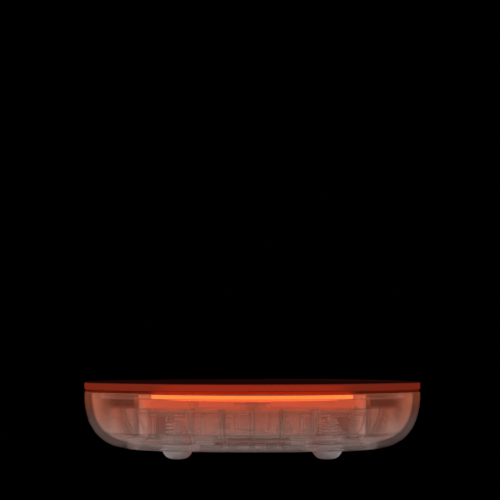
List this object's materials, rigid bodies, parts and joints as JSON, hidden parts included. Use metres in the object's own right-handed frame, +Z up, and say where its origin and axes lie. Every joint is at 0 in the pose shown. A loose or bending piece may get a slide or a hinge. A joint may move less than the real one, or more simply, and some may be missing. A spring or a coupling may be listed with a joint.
{
  "type": "electric mug warmer",
  "caption": "Round bowl-shaped electric mug warmer with a flat warming plate that floats on springs, a translucent casing and domed feet.",
  "frame": {"origin": "bottom centre, on the surface the feet stand on", "axes": "+Z up, front towards -Y, power inlet at the back towards +Y"},
  "size_m": [0.12, 0.12, 0.027],
  "materials": {
    "shell_smoke": "smoky translucent, polished",
    "cover_smoke": "smoky translucent, satin",
    "carrier_smoke": "smoky translucent, satin",
    "plate_glass": "dark red-brown glass ceramic, satin",
    "seal_rubber": "soft, matte",
    "foot_silicone": "translucent silicone",
    "spreader_metal": "satin",
    "heater_ceramic": "glowing ceramic",
    "track_metal": "printed metal",
    "pad_fibre": "pressed mica and fibre",
    "gasket_silicone": "soft, matte",
    "terminal_brass": "tinned",
    "fuse_metal": "bright",
    "sensor_steel": "bright",
    "holder_plastic": "dark heat-proof plastic",
    "spring_steel": "drawn wire",
    "screw_steel": "zinc plated",
    "board_laminate": "solder mask",
    "chip_black": "moulded",
    "capacitor_sleeve": "shrunk sleeve",
    "ferrite": "pressed powder",
    "block_plastic": "moulded",
    "switch_plastic": "moulded",
    "button_plastic": "moulded",
    "lead_silicone": "insulated wire",
    "inlet_plastic": "moulded",
    "jack_plastic": "moulded"
  },
  "bodies": {
    "base": {"lower_shell": "shell_smoke", "base_cover": "cover_smoke", "rim_seal": "seal_rubber", "foot_front_left": "foot_silicone", "foot_front_right": "foot_silicone", "foot_rear_left": "foot_silicone", "foot_rear_right": "foot_silicone", "sensor_leads": "lead_silicone", "heater_leads": "lead_silicone", "spring_front_left": "spring_steel", "spring_front_right": "spring_steel", "spring_rear_left": "spring_steel", "spring_rear_right": "spring_steel", "circuit_board": "board_laminate", "board_screws": "screw_steel", "terminal_block": "block_plastic", "terminal_screws": "screw_steel", "gravity_switch": "switch_plastic", "control_chip": "chip_black", "power_transistor": "chip_black", "storage_capacitor": "capacitor_sleeve", "inductor": "ferrite", "chip_resistors": "chip_black", "chip_capacitors": "terminal_brass", "sensor_header": "button_plastic", "inlet_collar": "inlet_plastic", "inlet_jack": "jack_plastic", "inlet_pin": "terminal_brass", "inlet_contact": "terminal_brass", "inlet_leads": "lead_silicone"},
    "platform": {"warming_plate": "plate_glass", "plate_gasket": "gasket_silicone", "heat_spreader": "spreader_metal", "heater_disc": "heater_ceramic", "resistance_track": "track_metal", "heater_terminals": "terminal_brass", "thermal_fuse": "fuse_metal", "fuse_clip": "sensor_steel", "insulation_pad": "pad_fibre", "sensor_holder": "holder_plastic", "temperature_sensor": "sensor_steel", "heater_carrier": "carrier_smoke", "platform_screws": "screw_steel"},
    "switch_plunger": {"switch_button": "button_plastic"}
  },
  "joints": [
    {"name": "platform_slide", "type": "slide", "parent": "base", "child": "platform", "axis": [0, 0, -1], "range_m": [0, 0.0006], "stiffness_N_per_m": 2500, "springref_m": -0.0012, "deforming": ["spring_front_left", "spring_front_right", "spring_rear_left", "spring_rear_right", "rim_seal", "heater_leads", "sensor_leads"]},
    {"name": "switch_press", "type": "slide", "parent": "base", "child": "switch_plunger", "axis": [0, 0, -1], "range_m": [0, 0.0006], "stiffness_N_per_m": 5, "springref_m": -0.0005}
  ],
  "couplings": [
    {"joint": "switch_press", "follows": "platform_slide", "ratio": 1}
  ]
}
